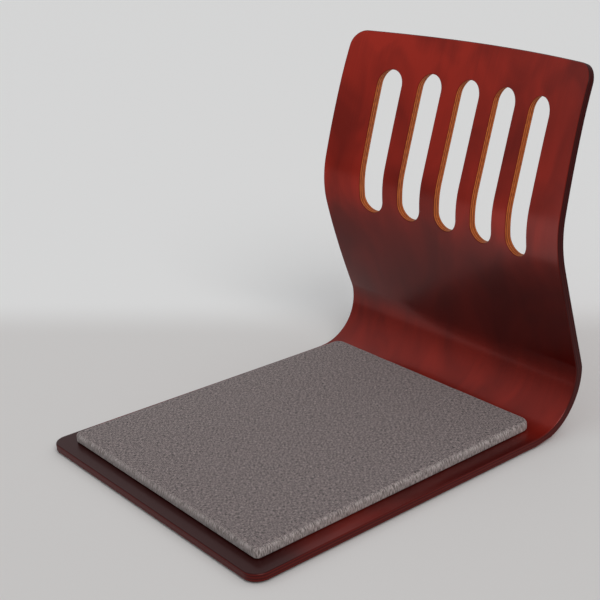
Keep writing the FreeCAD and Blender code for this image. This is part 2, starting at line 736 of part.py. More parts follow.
# The board, bored for the nuts, with the staples driven into it

board_foot = seat_face + fabric
board_top = board_foot + size("board_thickness")
board_plate = plate_body("BoardPlate", "board", "Sizes.board_thickness", board_foot)
barrel_bores = []
flange_seats = []
for number, (across, back) in enumerate(FIXINGS, start=1):
    bore = {
        "Radius": "Sizes.nut_barrel_diameter / 2 + Sizes.nut_clearance",
        "Height": "Sizes.board_thickness + 2 * Sizes.overrun",
    }
    seat_of_flange = {
        "Radius": "Sizes.nut_flange_diameter / 2 + Sizes.nut_clearance",
        "Height": "Sizes.nut_flange_thickness + Sizes.nut_clearance + Sizes.overrun",
    }
    start = beside(across, back, board_foot - size("overrun"))
    barrel_bores.append(primitive("Cylinder", "BarrelBore%d" % number, bore, start))
    start = beside(across, back, board_top - size("overrun"))
    flange_seats.append(primitive("Cylinder", "FlangeSeat%d" % number, seat_of_flange, start))
board_tools = group("BoardTools", barrel_bores + [pad_staples])
parts.append(boolean("Cut", "pad_board", board_plate, board_tools))

# The foam: all of the former above the board, hollowed over the flanges of the nuts

below_board = primitive(
    "Box",
    "BelowBoard",
    {"Length": "Sizes.seat_width", "Width": "Sizes.template_depth", "Height": "Sizes.overrun + Sizes.board_thickness"},
    FreeCAD.Placement(
        FreeCAD.Vector(-half_seat, -size("template_depth") / 2, board_foot - size("overrun")), FreeCAD.Rotation()
    ),
)
foam_cutter = doc.addObject("Part::MultiFuse", "FoamCutter")
foam_cutter.Shapes = [below_board] + flange_seats
parts.append(boolean("Cut", "pad_foam", rolled_former, foam_cutter))

# The cover: the rolled form less its former, open below inside the hem, and pressed up by the start of the bend

hem_window = plate_body("HemWindow", "window", "2 * Sizes.overrun", seat_face - size("overrun"))
bend_box = primitive(
    "Box",
    "BendBox",
    {"Length": "Sizes.seat_width", "Width": "Sizes.bend_radius", "Height": "Sizes.bend_radius"},
    beside(-half_seat, size("seat_run"), seat_face),
)
bend_round = primitive(
    "Cylinder",
    "BendRound",
    {"Radius": "Sizes.bend_radius - Sizes.bend_clearance", "Height": "Sizes.seat_width + 2 * Sizes.overrun"},
    FreeCAD.Placement(
        FreeCAD.Vector(-half_seat - size("overrun"), front + size("seat_run"), seat_face + size("bend_radius")),
        FreeCAD.Rotation(FreeCAD.Vector(0, 1, 0), RIGHT_ANGLE),
    ),
)
bend_tool = boolean("Cut", "BendTool", bend_box, bend_round)
hollow_cover = boolean("Cut", "HollowCover", rolled_cover, rolled_former)
open_cover = boolean("Cut", "OpenCover", hollow_cover, hem_window)
pressed_cover = boolean("Cut", "PressedCover", open_cover, bend_tool)
parts.append(boolean("Cut", "pad_cover", pressed_cover, pad_staples))

# The fixings: tee nuts let into the board from above, and countersunk screws up through the shell


def tee_nut(number, across, back):
    """A nut with a round flange on the board and a barrel down through it."""
    flange = primitive(
        "Cylinder",
        "NutFlange%d" % number,
        {"Radius": "Sizes.nut_flange_diameter / 2", "Height": "Sizes.nut_flange_thickness"},
        beside(across, back, board_top),
    )
    barrel = primitive(
        "Cylinder",
        "NutBarrel%d" % number,
        {"Radius": "Sizes.nut_barrel_diameter / 2", "Height": "Sizes.nut_barrel_length"},
        beside(across, back, board_top - size("nut_barrel_length")),
    )
    thread = primitive(
        "Cylinder",
        "NutThread%d" % number,
        {
            "Radius": "Sizes.screw_diameter / 2 + Sizes.thread_clearance",
            "Height": "Sizes.nut_barrel_length + Sizes.nut_flange_thickness + 2 * Sizes.overrun",
        },
        beside(across, back, board_top - size("nut_barrel_length") - size("overrun")),
    )
    return boolean("Cut", "Nut%d" % number, boolean("Fuse", "NutBlank%d" % number, flange, barrel), thread)


def countersunk_screw(number, across, back):
    """A screw with a cone head sunk just below the shell's underside, and a six-sided socket."""
    start = beside(across, back, underside + size("screw_recess"))
    head = primitive(
        "Cone",
        "ScrewHead%d" % number,
        {
            "Radius1": "Sizes.screw_head_diameter / 2",
            "Radius2": "Sizes.screw_diameter / 2",
            "Height": "(Sizes.screw_head_diameter - Sizes.screw_diameter) / 2",
        },
        start,
    )
    shank_formulas = {"Radius": "Sizes.screw_diameter / 2", "Height": "Sizes.screw_length"}
    shank = primitive("Cylinder", "ScrewShank%d" % number, shank_formulas, start)
    socket = primitive(
        "Prism",
        "ScrewSocket%d" % number,
        {"Circumradius": "Sizes.socket_diameter / 2", "Height": "Sizes.socket_depth + Sizes.overrun"},
        beside(across, back, underside + size("screw_recess") - size("overrun")),
    )
    socket.Polygon = 6
    return boolean("Cut", "Screw%d" % number, boolean("Fuse", "ScrewBlank%d" % number, head, shank), socket)


numbered = list(enumerate(FIXINGS, start=1))
parts.append(group("pad_nuts", [tee_nut(number, *place) for number, place in numbered]))
parts.append(group("pad_screws", [countersunk_screw(number, *place) for number, place in numbered]))

# The felt discs that the chair stands on

discs = []
for side in (-1, 1):
    for row in ("glide_front", "glide_rear"):
        place = beside(side * size("glide_across") / 2, size(row), 0)
        formulas = {"Radius": "Sizes.glide_diameter / 2", "Height": "Sizes.glide_thickness"}
        discs.append(primitive("Cylinder", "Glide%d" % (len(discs) + 1), formulas, place))
parts.append(group("floor_glides", discs))
doc.recompute()

# Every object is sound before anything is written

for item in doc.Objects:
    if "Invalid" in item.State or "Error" in item.State:
        raise RuntimeError("%s failed: %s" % (item.Name, item.State))
for part in parts:
    part.Label = part.Name
    if part.Shape.isNull() or not part.Shape.isValid() or not part.Shape.Solids:
        raise RuntimeError("%s has no sound solid" % part.Name)

os.makedirs("parts", exist_ok=True)
for part in parts:
    part.Shape.exportStep("parts/%s.step" % part.Label)
    print(part.Label, len(part.Shape.Solids), "solids", round(part.Shape.Volume), "cubic millimetres")
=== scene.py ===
"""Looks of a legless floor chair: a stained, moulded plywood shell and a thin seat pad.

Metres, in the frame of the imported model: +Z is up, the chair faces -Y, and the origin is on
the floor.
"""

import bpy
import numpy as np
from mathutils import Matrix, Vector
from mathutils.geometry import delaunay_2d_cdt


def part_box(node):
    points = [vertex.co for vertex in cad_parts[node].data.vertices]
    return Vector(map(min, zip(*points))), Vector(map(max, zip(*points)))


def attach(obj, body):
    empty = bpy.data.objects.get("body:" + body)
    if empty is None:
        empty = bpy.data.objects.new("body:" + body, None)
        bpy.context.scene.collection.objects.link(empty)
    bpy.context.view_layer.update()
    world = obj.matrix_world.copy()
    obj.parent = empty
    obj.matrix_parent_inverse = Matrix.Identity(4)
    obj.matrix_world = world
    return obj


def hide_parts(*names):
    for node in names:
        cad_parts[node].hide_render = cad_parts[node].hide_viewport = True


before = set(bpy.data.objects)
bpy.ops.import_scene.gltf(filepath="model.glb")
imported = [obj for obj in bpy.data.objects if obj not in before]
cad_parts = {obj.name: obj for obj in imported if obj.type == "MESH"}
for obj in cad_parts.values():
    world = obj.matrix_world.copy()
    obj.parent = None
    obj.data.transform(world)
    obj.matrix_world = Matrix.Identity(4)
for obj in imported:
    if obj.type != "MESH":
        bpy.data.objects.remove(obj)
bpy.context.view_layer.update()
MM = 0.001

# The shell's shape. A real one is a stack of beech or rubberwood plies between two stained
# veneers, glued and pressed in a heated mould, so every layer follows one profile at its own
# depth. The blank is then sawn to its outline, and the slots are routed level through it.

glide_thickness = 2 * MM
veneer_thickness = 0.6 * MM
shell_thickness = 9 * MM
shell_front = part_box("plywood_core")[0][1]
seat_face = glide_thickness + shell_thickness

# The profile from the front edge to the head, and the hollow across the back
seat_run = 380 * MM
bend_radius = 60 * MM
bend_turn = np.radians(94)
lower_back_run = 122 * MM
lumbar_radius = 119 * MM
lumbar_turn = np.radians(24.4)
upper_back_run = 87 * MM
head_radius = 1040 * MM
head_turn = np.radians(3.6)
mid_hollow_radius = 810 * MM
top_hollow_radius = 704 * MM

# Half widths and rounds of the seat, seen from above, and of the back, seen square to it
half_seat = 200 * MM
front_corner = 17 * MM
half_waist = half_seat - 10.5 * MM
waist_radius = 1000 * MM
waist_reach = 190 * MM
half_hip = half_waist + 6.8 * MM
hip_reach = 338 * MM
hip_round_share = 0.62
half_top = half_hip - 5.2 * MM
top_corner = 22 * MM
top_crown = 8.8 * MM
top_crown_radius = 2080 * MM

# The slots through the back, and the countersunk holes of the pad's screws
slot_count = 5
slot_pitch = 60.7 * MM
slot_round = 17.65 * MM
slot_low = glide_thickness + 190 * MM + slot_round
slot_high = glide_thickness + 355.5 * MM - slot_round
screw_across = 120 * MM
screw_backs = (90 * MM, 310 * MM)
screw_hole_radius = 2.75 * MM
countersink_radius = 5.45 * MM

# The sanded round of the edges, and the share of it that breaks the edges of the screw holes
arris_radius = 1.5 * MM
hole_break = 0.2

# Each piece of the profile: its length and its curvature, positive where it turns up and
# forward. The last is a straight run past the head, for points that are sawn off there.
profile_pieces = np.array(
    [
        (seat_run, 0),
        (bend_radius * bend_turn, 1 / bend_radius),
        (lower_back_run, 0),
        (lumbar_radius * lumbar_turn, -1 / lumbar_radius),
        (upper_back_run, 0),
        (head_radius * head_turn, -1 / head_radius),
        (1, 0),
    ]
)
piece_lengths, piece_curvatures = profile_pieces.T
piece_starts = np.concatenate([[0], np.cumsum(piece_lengths)[:-1]])
bend_end = piece_starts[2]
profile_length = piece_starts[-1]
lean = bend_turn - lumbar_turn - head_turn


def follow_arc(length, curvature, heading):
    """The step along an arc, and the heading at its end; with no curvature it is a straight.

    The chord is length * sin(turn / 2) / (turn / 2), and it lies midway between the headings.
    """
    turn = length * curvature
    chord = length * np.sinc(turn / (2 * np.pi))
    middle = heading + turn / 2
    return chord * np.cos(middle), chord * np.sin(middle), heading + turn


piece_backs = np.zeros(len(profile_pieces))
piece_heights = np.full(len(profile_pieces), seat_face)
piece_headings = np.zeros(len(profile_pieces))
for piece in range(1, len(profile_pieces)):
    step_back, step_up, turned = follow_arc(
        piece_lengths[piece - 1], piece_curvatures[piece - 1], piece_headings[piece - 1]
    )
    piece_backs[piece] = piece_backs[piece - 1] + step_back
    piece_heights[piece] = piece_heights[piece - 1] + step_up
    piece_headings[piece] = turned


def shell_point(run, across, depth):
    """A point of the moulding from its run along the profile, its place across and its depth.

    The hollow, 1 / R, follows a parabola from none at the end of the bend, through its value
    halfway, to its value at the top. The point moves along the profile's normal by
    sqrt((R + depth)^2 - across^2) - R, an arc with its centre in front of the back, written
    so that it also holds where the radius R is endless.
    """
    piece = np.searchsorted(piece_starts, run, side="right") - 1
    piece = np.clip(piece, 0, len(piece_starts) - 1)
    back, up, heading = follow_arc(
        run - piece_starts[piece], piece_curvatures[piece], piece_headings[piece]
    )
    share = np.clip((run - bend_end) / (profile_length - bend_end), 0, 1)
    middle_excess = 1 / mid_hollow_radius - 0.5 / top_hollow_radius
    hollow = share / top_hollow_radius + middle_excess * 4 * share * (1 - share)
    root = np.sqrt((1 + hollow * depth) ** 2 - (hollow * across) ** 2)
    out = (2 * depth + hollow * (depth ** 2 - across ** 2)) / (root + 1)
    return np.stack(
        [
            across,
            shell_front + piece_backs[piece] + back + out * np.sin(heading),
            piece_heights[piece] + up - out * np.cos(heading),
        ],
        axis=-1,
    )


def shell_directions(run, across, depth):
    """Unit vectors at a point of the moulding: across it, along it, and out of its face.

    The first two run between points a small step to either side; the third is their product.
    """
    small = 0.05 * MM
    sideways = shell_point(run, across + small, depth) - shell_point(run, across - small, depth)
    onward = shell_point(run + small, across, depth) - shell_point(run - small, across, depth)
    sideways /= np.linalg.norm(sideways, axis=-1, keepdims=True)
    onward /= np.linalg.norm(onward, axis=-1, keepdims=True)
    outward = np.cross(sideways, onward)
    return sideways, onward, outward / np.linalg.norm(outward, axis=-1, keepdims=True)


halvings = 36
past_top = 40 * MM


def find_run(across, depth, target, measure):
    """The run at which a measure of the shell's points reaches its target, by halving."""
    low = np.zeros_like(across) + seat_run
    high = np.zeros_like(across) + profile_length + past_top
    for _ in range(halvings):
        middle = (low + high) / 2
        short = measure(shell_point(middle, across, depth)) < target
        low = np.where(short, middle, low)
        high = np.where(short, high, middle)
    return (low + high) / 2


def height_of(points):
    """Height above the floor."""
    return points[..., 2]


def reach_of(points):
    """Distance along the direction of the upper back, from the front edge on the floor."""
    return (points[..., 1] - shell_front) * np.cos(lean) + points[..., 2] * np.sin(lean)


def blend(start, end, share):
    """Points between two others, each at its share of the way."""
    return np.array(start) * (1 - share[:, None]) + np.array(end) * share[:, None]


def straight(start, end, step):
    """Even points from the start up to, not including, the end."""
    count = max(1, round(np.hypot(end[0] - start[0], end[1] - start[1]) / step))
    return blend(start, end, np.arange(count) / count)


def arc(centre, radius, first, last, step):
    """Even points of an arc from its first angle up to, not including, its last."""
    count = max(2, round(abs(last - first) * radius / step))
    angle = first + (last - first) * np.arange(count) / count
    return np.array(centre) + radius * np.stack([np.cos(angle), np.sin(angle)], axis=-1)


# The right half of the seat's outline in plan: half the front edge, a round corner, a taper
# and the waist. The taper's angle moves the ends of its own rounds, so it is settled in turns.
edge_step = 4 * MM
corner_step = 1.4 * MM
settlings = 20
taper = 0.0
for _ in range(settlings):
    gain = half_seat - half_waist - waist_radius * (1 - np.cos(taper))
    span = seat_run - front_corner - (waist_radius + front_corner) * np.sin(taper)
    taper = np.arctan(gain / span)
corner_centre = (half_seat - front_corner * np.cos(taper), front_corner)
corner_end = (half_seat, front_corner + front_corner * np.sin(taper))
waist_centre = (half_waist + waist_radius, seat_run)
waist_start = (
    waist_centre[0] - waist_radius * np.cos(taper),
    seat_run - waist_radius * np.sin(taper),
)
seat_outline = np.concatenate(
    [
        straight((0, 0), (corner_centre[0], 0), edge_step),
        arc(corner_centre, front_corner, -np.pi / 2, taper, corner_step),
        straight(corner_end, waist_start, edge_step),
        arc(waist_centre, waist_radius, np.pi + taper, np.pi, edge_step),
    ]
)

# The right half of the back's outline, square to its upper part: waist, hip, side, round
# corner and crown. The side's angle is settled as the taper's is.
crown_reach = reach_of(shell_point(np.array([profile_length]), np.array([0.0]), 0))[0] + top_crown
foot_reach = seat_run * np.cos(lean) + seat_face * np.sin(lean)
hip_lift = hip_reach - waist_reach
hip_step = half_hip - half_waist
side_rounds = (hip_lift ** 2 + hip_step ** 2) / (2 * hip_step)
hip_radius = hip_round_share * side_rounds
waist_round = side_rounds - hip_radius
hip_turn = np.arcsin(hip_lift / side_rounds)
crown_centre = crown_reach - top_crown_radius
side = 0.0
for _ in range(settlings):
    corner_across = half_top - top_corner * np.cos(side)
    corner_drop = np.sqrt((top_crown_radius - top_corner) ** 2 - corner_across ** 2)
    corner_reach = crown_centre + corner_drop
    side_end = corner_reach + top_corner * np.sin(side)
    gain = half_hip - half_top - hip_radius * (1 - np.cos(side))
    side = np.arctan(gain / (side_end - hip_reach - hip_radius * np.sin(side)))
side_start = (half_hip - hip_radius * (1 - np.cos(side)), hip_reach + hip_radius * np.sin(side))
crown_angle = np.arctan2(corner_reach - crown_centre, corner_across)
waist_round_centre = (half_waist + waist_round, waist_reach)
hip_centre = (half_hip - hip_radius, hip_reach)
back_outline = np.concatenate(
    [
        straight((half_waist, foot_reach), (half_waist, waist_reach), edge_step),
        arc(waist_round_centre, waist_round, np.pi, np.pi - hip_turn, edge_step),
        arc(hip_centre, hip_radius, -hip_turn, side, edge_step),
        straight(side_start, (half_top, side_end), edge_step),
        arc((corner_across, corner_reach), top_corner, side, crown_angle, corner_step),
        arc((0, crown_centre), top_crown_radius, crown_angle, np.pi / 2, edge_step),
        np.array([[0, crown_reach]]),
    ]
)


def outer_loop(depth):
    """The shell's outline at a depth, anticlockwise as (across, run).

    The seat is sawn upright, so its part is the same at every depth. The back is sawn square
    to its upper part, so the run of each point there is found anew.
    """
    run = find_run(back_outline[:, 0], depth, back_outline[:, 1], reach_of)
    run[0] = seat_run
    half = np.concatenate([seat_outline, np.stack([back_outline[:, 0], run], axis=-1)])
    return np.concatenate([half, half[-2:0:-1] * (-1, 1)])


def slot_loop(number, depth):
    """One slot at a depth, clockwise: upright with round ends, carried level through the shell."""
    middle = (number - (slot_count - 1) / 2) * slot_pitch
    outline = np.concatenate(
        [
            straight((slot_round, slot_low), (slot_round, slot_high), edge_step),
            arc((0, slot_high), slot_round, 0, np.pi, corner_step),
            straight((-slot_round, slot_high), (-slot_round, slot_low), edge_step),
            arc((0, slot_low), slot_round, np.pi, 2 * np.pi, corner_step),
        ]
    )[::-1]
    across = outline[:, 0] + middle
    return np.stack([across, find_run(across, depth, outline[:, 1], height_of)], axis=-1)


hole_step = 1 * MM


def screw_loop(place, depth):
    """One screw hole at a depth, clockwise: straight from the seat's face, then a cone.

    The step grows with the radius, so every depth has the same count of points.
    """
    radius = max(screw_hole_radius, countersink_radius - (shell_thickness - depth))
    return arc(place, radius, 2 * np.pi, 0, hole_step * radius / screw_hole_radius)


screw_places = [(side_sign * screw_across, back) for side_sign in (-1, 1) for back in screw_backs]


def shell_loops(depth):
    """All the edges of the shell at a depth, the outline first; the wood is always on the left."""
    slots = [slot_loop(number, depth) for number in range(slot_count)]
    return [outer_loop(depth)] + slots + [screw_loop(place, depth) for place in screw_places]


def shell_ring(depth, inset):
    """Every edge at a depth, drawn into the wood by the inset, and the unit direction inwards.

    That direction is the edge's own direction, turned a quarter to the left. The screw holes,
    which come after the outline and the slots, are drawn in less.
    """
    points, inward = [], []
    for number, loop in enumerate(shell_loops(depth)):
        tangent = np.roll(loop, -1, axis=0) - np.roll(loop, 1, axis=0)
        tangent /= np.linalg.norm(tangent, axis=1, keepdims=True)
        normal = np.stack([-tangent[:, 1], tangent[:, 0]], axis=-1)
        drawn = inset if number <= slot_count else hole_break * inset
        points.append(loop + normal * drawn)
        inward.append(normal)
    return np.concatenate(points), np.concatenate(inward)


loop_sizes = [len(loop) for loop in shell_loops(0)]
loop_starts = np.concatenate([[0], np.cumsum(loop_sizes)[:-1]])
ring_size = sum(loop_sizes)
ring_next = np.concatenate(
    [start + (np.arange(size) + 1) % size for start, size in zip(loop_starts, loop_sizes)]
)

# The panels' grid, and how it is triangulated: way 2 keeps what lies inside the outline
grid_step = 5 * MM
grid_clearance = 0.45 * grid_step
grid_parts = 24
inside_outline = 2
weld_distance = 1e-9


def panel(depth):
    """Triangles that fill the shell at a depth, between its edges drawn in by the arris.

    A grid's point is kept where it lies more than the clearance on the wood's side of the
    nearest point of every edge, which is measured for a part of the grid at a time. Returns
    these points as (across, run) and the triangles, counted with the edges' points first.
    """
    ring, inward = shell_ring(depth, arris_radius)
    across = np.arange(-half_seat, half_seat + grid_step, grid_step)
    run = np.arange(grid_step / 2, profile_length + top_crown, grid_step)
    grid = np.stack(np.meshgrid(across - across.mean(), run), axis=-1).reshape(-1, 2)
    inside = np.ones(len(grid), bool)
    for start, size in zip(loop_starts, loop_sizes):
        loop = ring[start : start + size]
        arrow = inward[start : start + size]
        for part in np.array_split(np.arange(len(grid)), grid_parts):
            offset = grid[part, None, :] - loop[None, :, :]
            nearest = np.argmin((offset ** 2).sum(-1), axis=1)
            near = offset[np.arange(len(part)), nearest]
            inside[part] &= (near * arrow[nearest]).sum(-1) > grid_clearance
    grid = grid[inside]
    edges = np.stack([np.arange(ring_size), ring_next], axis=-1).tolist()
    corners = [Vector(c) for c in np.concatenate([ring, grid]).tolist()]
    result = delaunay_2d_cdt(corners, edges, [], inside_outline, weld_distance)
    source = np.array([origin[0] for origin in result[3]])
    triangles = source[np.array([face for face in result[2] if len(face) == 3])]
    # A triangle that hangs between three points of one slot or hole lies in its opening
    ring_owner = np.repeat(np.arange(len(loop_sizes)), loop_sizes)
    owners = np.concatenate([ring_owner, np.zeros(len(grid), int)])[triangles]
    alike = (owners[:, 0] == owners[:, 1]) & (owners[:, 1] == owners[:, 2])
    opening = (owners[:, 0] > 0) & alike
    return grid, triangles[~opening]


def add_uv_map(mesh, name, places):
    """A UV map in metres, which gives each corner of a face the flat place of its point."""
    corner_points = np.zeros(len(mesh.loops), np.int64)
    mesh.loops.foreach_get("vertex_index", corner_points)
    layer = mesh.uv_layers.new(name=name)
    layer.data.foreach_set("uv", places[corner_points].astype(np.float32).ravel())


def add_attribute(mesh, name, values):
    """A value at each point of a mesh, for its material to read by this name."""
    layer = mesh.attributes.new(name, "FLOAT", "POINT")
    layer.data.foreach_set("value", values.astype(np.float32))


def add_object(name, data):
    """A new object in the scene that shows this mesh, lamp or camera."""
    thing = bpy.data.objects.new(name, data)
    bpy.context.scene.collection.objects.link(thing)
    return thing


def layer_piece(name, levels, top_panel, foot_panel):
    """One layer of the shell as a closed mesh, with exact normals.

    levels lists (depth, inset, tilt, side) from the sitter's side outwards. The tilt is how
    far the surface has turned from the face (0) to the cut edge (a right angle), so the normal
    is cos(tilt) of the face's and sin(tilt) of the edge's. The panels close both ends. The
    attribute depth is the distance below the sitter's face, opening is 1 on the slots and
    holes, and turned is the sine of the tilt.
    """
    places, normals, flat, depths, turned = [], [], [], [], []
    on_slot = np.repeat(np.arange(len(loop_sizes)) > 0, loop_sizes).astype(float)
    sawn = [on_slot] * len(levels)
    for depth, inset, tilt, facing in levels:
        ring, inward = shell_ring(depth, inset)
        sideways, onward, outward = shell_directions(ring[:, 1], ring[:, 0], depth)
        edgeward = -(sideways * inward[:, :1] + onward * inward[:, 1:])
        places.append(shell_point(ring[:, 1], ring[:, 0], depth))
        normals.append(np.cos(tilt) * facing * outward + np.sin(tilt) * edgeward)
        flat.append(ring)
        depths.append(np.full(len(ring), depth))
        turned.append(np.full(len(ring), np.sin(tilt)))
    top_grid, top_faces = top_panel
    foot_grid, foot_faces = foot_panel
    for grid, depth, facing in ((top_grid, levels[0][0], 1), (foot_grid, levels[-1][0], -1)):
        places.append(shell_point(grid[:, 1], grid[:, 0], depth))
        normals.append(facing * shell_directions(grid[:, 1], grid[:, 0], depth)[2])
        flat.append(grid)
        depths.append(np.full(len(grid), depth))
        sawn.append(np.zeros(len(grid)))
        turned.append(np.zeros(len(grid)))
    # A panel counts its edges first, then its grid; here all the levels' edges come first
    walls = (len(levels) - 1) * ring_size
    top = np.where(top_faces < ring_size, top_faces, top_faces + walls)
    foot = foot_faces + np.where(foot_faces < ring_size, walls, walls + len(top_grid))
    level_starts = ring_size * np.arange(len(levels) - 1)[:, None]
    here = np.arange(ring_size)[None, :] + level_starts
    onwards = ring_next[None, :] + level_starts
    strips = np.stack([here, here + ring_size, onwards + ring_size, onwards], axis=-1)
    faces = top.tolist() + foot[:, ::-1].tolist() + strips.reshape(-1, 4).tolist()
    mesh = bpy.data.meshes.new(name)
    mesh.from_pydata(np.concatenate(places).tolist(), [], faces)
    add_uv_map(mesh, "lay", np.concatenate(flat))
    for attribute, values in (("depth", depths), ("opening", sawn), ("turned", turned)):
        add_attribute(mesh, attribute, np.concatenate(values))
    mesh.shade_smooth()
    exact = np.concatenate(normals)
    exact /= np.linalg.norm(exact, axis=1, keepdims=True)
    mesh.normals_split_custom_set_from_vertices(exact.tolist())
    return add_object(name, mesh)


# The arris runs through a quarter turn; the veneer's glue line falls part of the way round it
right_angle = np.pi / 2
glue_tilt = np.arccos(1 - veneer_thickness / arris_radius)
face_levels_count = 5
core_levels_count = 4
face_tilts = np.linspace(0, glue_tilt, face_levels_count)
core_tilts = np.linspace(glue_tilt, right_angle, core_levels_count)


def arris_levels(tilts, facing):
    """Levels of a rounded arris on the sitter's side (facing 1) or the outside (facing -1).

    At a tilt t of an arris of radius r, the surface lies r * (1 - cos t) below the face and is
    drawn in from the edge by r * (1 - sin t).
    """
    depths = arris_radius * (1 - np.cos(tilts))
    if facing < 0:
        depths = shell_thickness - depths
    insets = arris_radius * (1 - np.sin(tilts))
    return [(depth, inset, tilt, facing) for depth, inset, tilt in zip(depths, insets, tilts)]


def glue_level(facing):
    """The level at a glue line, where a panel closes a layer, drawn in as far as its edge."""
    depth = veneer_thickness if facing > 0 else shell_thickness - veneer_thickness
    return (depth, arris_radius, 0, facing)


front_panel = panel(0)
rear_panel = panel(shell_thickness)

# The two show veneers: sliced hardwood 0.6 mm thick, glued on in the press, stained mahogany red
# and closed by a satin lacquer. Their colour also carries painted light and shade along the run:
# painted shade at the front edge and low on the back, and painted highlight in the bend and by the
# slots.


def linear(colour, alpha=1.0):
    """An sRGB colour, written as six hex digits, as the linear values that a shader takes.

    A part c is c / 12.92 up to 0.04045, and ((c + 0.055) / 1.055) ^ 2.4 from there.
    """
    parts = np.array([int(colour[i : i + 2], 16) / 255 for i in (1, 3, 5)])
    bent = np.where(parts <= 0.04045, parts / 12.92, ((parts + 0.055) / 1.055) ** 2.4)
    return (*bent.tolist(), alpha)


def new_material(name):
    """An empty material, and its shader ready to be set."""
    material = bpy.data.materials.new(name)
    material.use_nodes = True
    return material, material.node_tree.nodes["Principled BSDF"]


def add_node(material, kind, values=None, links=None, **settings):
    """Adds a node: its settings, the values of unlinked inputs, and what feeds the others."""
    node = material.node_tree.nodes.new(kind)
    for setting, value in settings.items():
        setattr(node, setting, value)
    for socket, value in (values or {}).items():
        node.inputs[socket].default_value = value
    for socket, source in (links or {}).items():
        material.node_tree.links.new(source, node.inputs[socket])
    return node


# Real pores are finer than a pixel of the picture, so they are drawn about 1 mm apart. They
# and the clouds are about 83 mm long, which is twelve to the metre.
pore_spacing = 1 * MM
grain_length = 1000 / 12 * MM
cloud_width = 50 * MM
arris_stain = "#380B0A"
arris_share = 0.85

# Painted light and shade on the stain: its brightness at shares of the way from the front edge to
# the head
painted_light_steps = (
    (0, 0),
    (0.04, 0.01),
    (0.11, 0.27),
    (0.25, 0.2),
    (0.36, 0.12),
    (0.44, 0.16),
    (0.5, 0.46),
    (0.55, 0.45),
    (0.61, 0.19),
    (0.68, 0.19),
    (0.73, 0.33),
    (0.79, 0.68),
    (0.9, 0.8),
    (1, 0.85),
)


def stained_veneer(name, deep, bright):
    """Mahogany-stained veneer under satin lacquer: its tone is the clouds times painted light and
    shade along the run.

    The pores run faintly along the grain. Some light comes back from the stained fibres as a
    red sheen, and the smooth lacquer over them adds a pale, soft reflection.
    """
    material, shader = new_material(name)
    lay = add_node(material, "ShaderNodeUVMap", uv_map="lay")
    pores_at = add_node(
        material,
        "ShaderNodeMapping",
        {"Scale": (1 / pore_spacing, 1 / grain_length, 1)},
        {"Vector": lay.outputs[0]},
    )
    pores = add_node(
        material,
        "ShaderNodeTexNoise",
        {"Scale": 1.0, "Detail": 2.0, "Roughness": 0.55},
        {"Vector": pores_at.outputs[0]},
        noise_dimensions="2D",
    )
    figure_at = add_node(
        material,
        "ShaderNodeMapping",
        {"Scale": (1 / cloud_width, 1 / grain_length, 1)},
        {"Vector": lay.outputs[0]},
    )
    figure = add_node(
        material,
        "ShaderNodeTexNoise",
        {"Scale": 1.0, "Detail": 2.0, "Distortion": 0.4},
        {"Vector": figure_at.outputs[0]},
        noise_dimensions="2D",
    )
    mottle = add_node(
        material,
        "ShaderNodeMix",
        {"Factor": 0.15},
        {"A": figure.outputs[0], "B": pores.outputs[0]},
        data_type="FLOAT",
    )
    clouds = add_node(
        material,
        "ShaderNodeMapRange",
        {"From Min": 0.3, "From Max": 0.7, "To Min": 0.65, "To Max": 1.35},
        {"Value": mottle.outputs[0]},
    )
    place = add_node(material, "ShaderNodeSeparateXYZ", {}, {0: lay.outputs[0]})
    along = add_node(
        material,
        "ShaderNodeMath",
        {1: 1 / profile_length},
        {0: place.outputs[1]},
        operation="MULTIPLY",
    )
    # Painted shade where the seat rim and lower back reflect the pad and lie in shade, and painted
    # highlight in the bend and on the upper back
    painted_light = add_node(material, "ShaderNodeFloatCurve", {}, {"Value": along.outputs[0]})
    painted_light_curve = painted_light.mapping.curves[0]
    painted_light_curve.points[0].location = painted_light_steps[0]
    painted_light_curve.points[1].location = painted_light_steps[-1]
    for run_share, brightness in painted_light_steps[1:-1]:
        painted_light_curve.points.new(run_share, brightness)
    painted_light.mapping.update()
    tone = add_node(
        material,
        "ShaderNodeMath",
        {},
        {0: clouds.outputs[0], 1: painted_light.outputs[0]},
        operation="MULTIPLY",
    )
    stain = add_node(
        material,
        "ShaderNodeMix",
        {"A": linear(deep), "B": linear(bright)},
        {"Factor": tone.outputs[0]},
        data_type="RGBA",
    )
    # The stain gathers where the sanded arris is turned away from the face
    turned = add_node(material, "ShaderNodeAttribute", attribute_name="turned")
    gathered = add_node(
        material,
        "ShaderNodeMath",
        {1: arris_share},
        {0: turned.outputs["Fac"]},
        operation="MULTIPLY",
    )
    edged = add_node(
        material,
        "ShaderNodeMix",
        {"B": linear(arris_stain)},
        {"A": stain.outputs[2], "Factor": gathered.outputs[0]},
        data_type="RGBA",
    )
    material.node_tree.links.new(edged.outputs[2], shader.inputs["Base Color"])
    shader.inputs["Metallic"].default_value = 0.55
    shader.inputs["Roughness"].default_value = 0.3
    shader.inputs["Specular IOR Level"].default_value = 0.1
    shader.inputs["Coat Weight"].default_value = 0.35
    shader.inputs["Coat Roughness"].default_value = 0.2
    return material


face_levels = arris_levels(face_tilts, 1) + [glue_level(1)]
shell_face = layer_piece("shell_face_veneer", face_levels, front_panel, front_panel)
shell_face.data.materials.append(stained_veneer("stained_mahogany_face", "#3A0706", "#B82E1E"))
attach(shell_face, "root")
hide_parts("face_veneer")

back_levels = [glue_level(-1)] + arris_levels(face_tilts, -1)[::-1]
shell_back = layer_piece("shell_back_veneer", back_levels, rear_panel, rear_panel)
shell_back.data.materials.append(stained_veneer("stained_mahogany_back", "#380706", "#A82A1C"))
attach(shell_back, "root")
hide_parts("back_veneer")

# The core: cross-laid plies, seen only where the shell is sawn and routed. The outer edges are
# stained dark maroon; the slots are routed later, and bare lacquer wets their cut wood to a
# warm orange brown. Each second ply shows its darker end grain.

